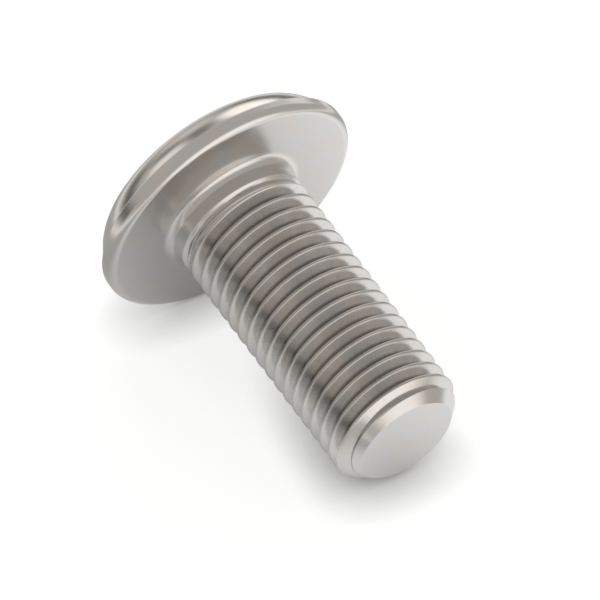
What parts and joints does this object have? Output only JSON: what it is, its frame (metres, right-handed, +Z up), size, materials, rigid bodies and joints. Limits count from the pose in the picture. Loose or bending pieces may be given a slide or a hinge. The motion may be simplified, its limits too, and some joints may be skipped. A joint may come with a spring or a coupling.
{
  "type": "cheese head screw",
  "caption": "Cheese head screw with a low stepped round head, hexagon socket, plain neck and fine right-hand thread.",
  "frame": {"origin": "centre of the lying screw's box, on the surface that it lies on", "axes": "+Z up; the screw's axis lies in the XZ plane with its tip towards +X, sloping down to the tip because the flange is wider than the thread; +Y to the side"},
  "size_m": [0.0304, 0.0216, 0.0213],
  "materials": {
    "steel": "satin, bead-polished stainless steel"
  },
  "bodies": {
    "root": {"screw": "steel"}
  },
  "joints": []
}
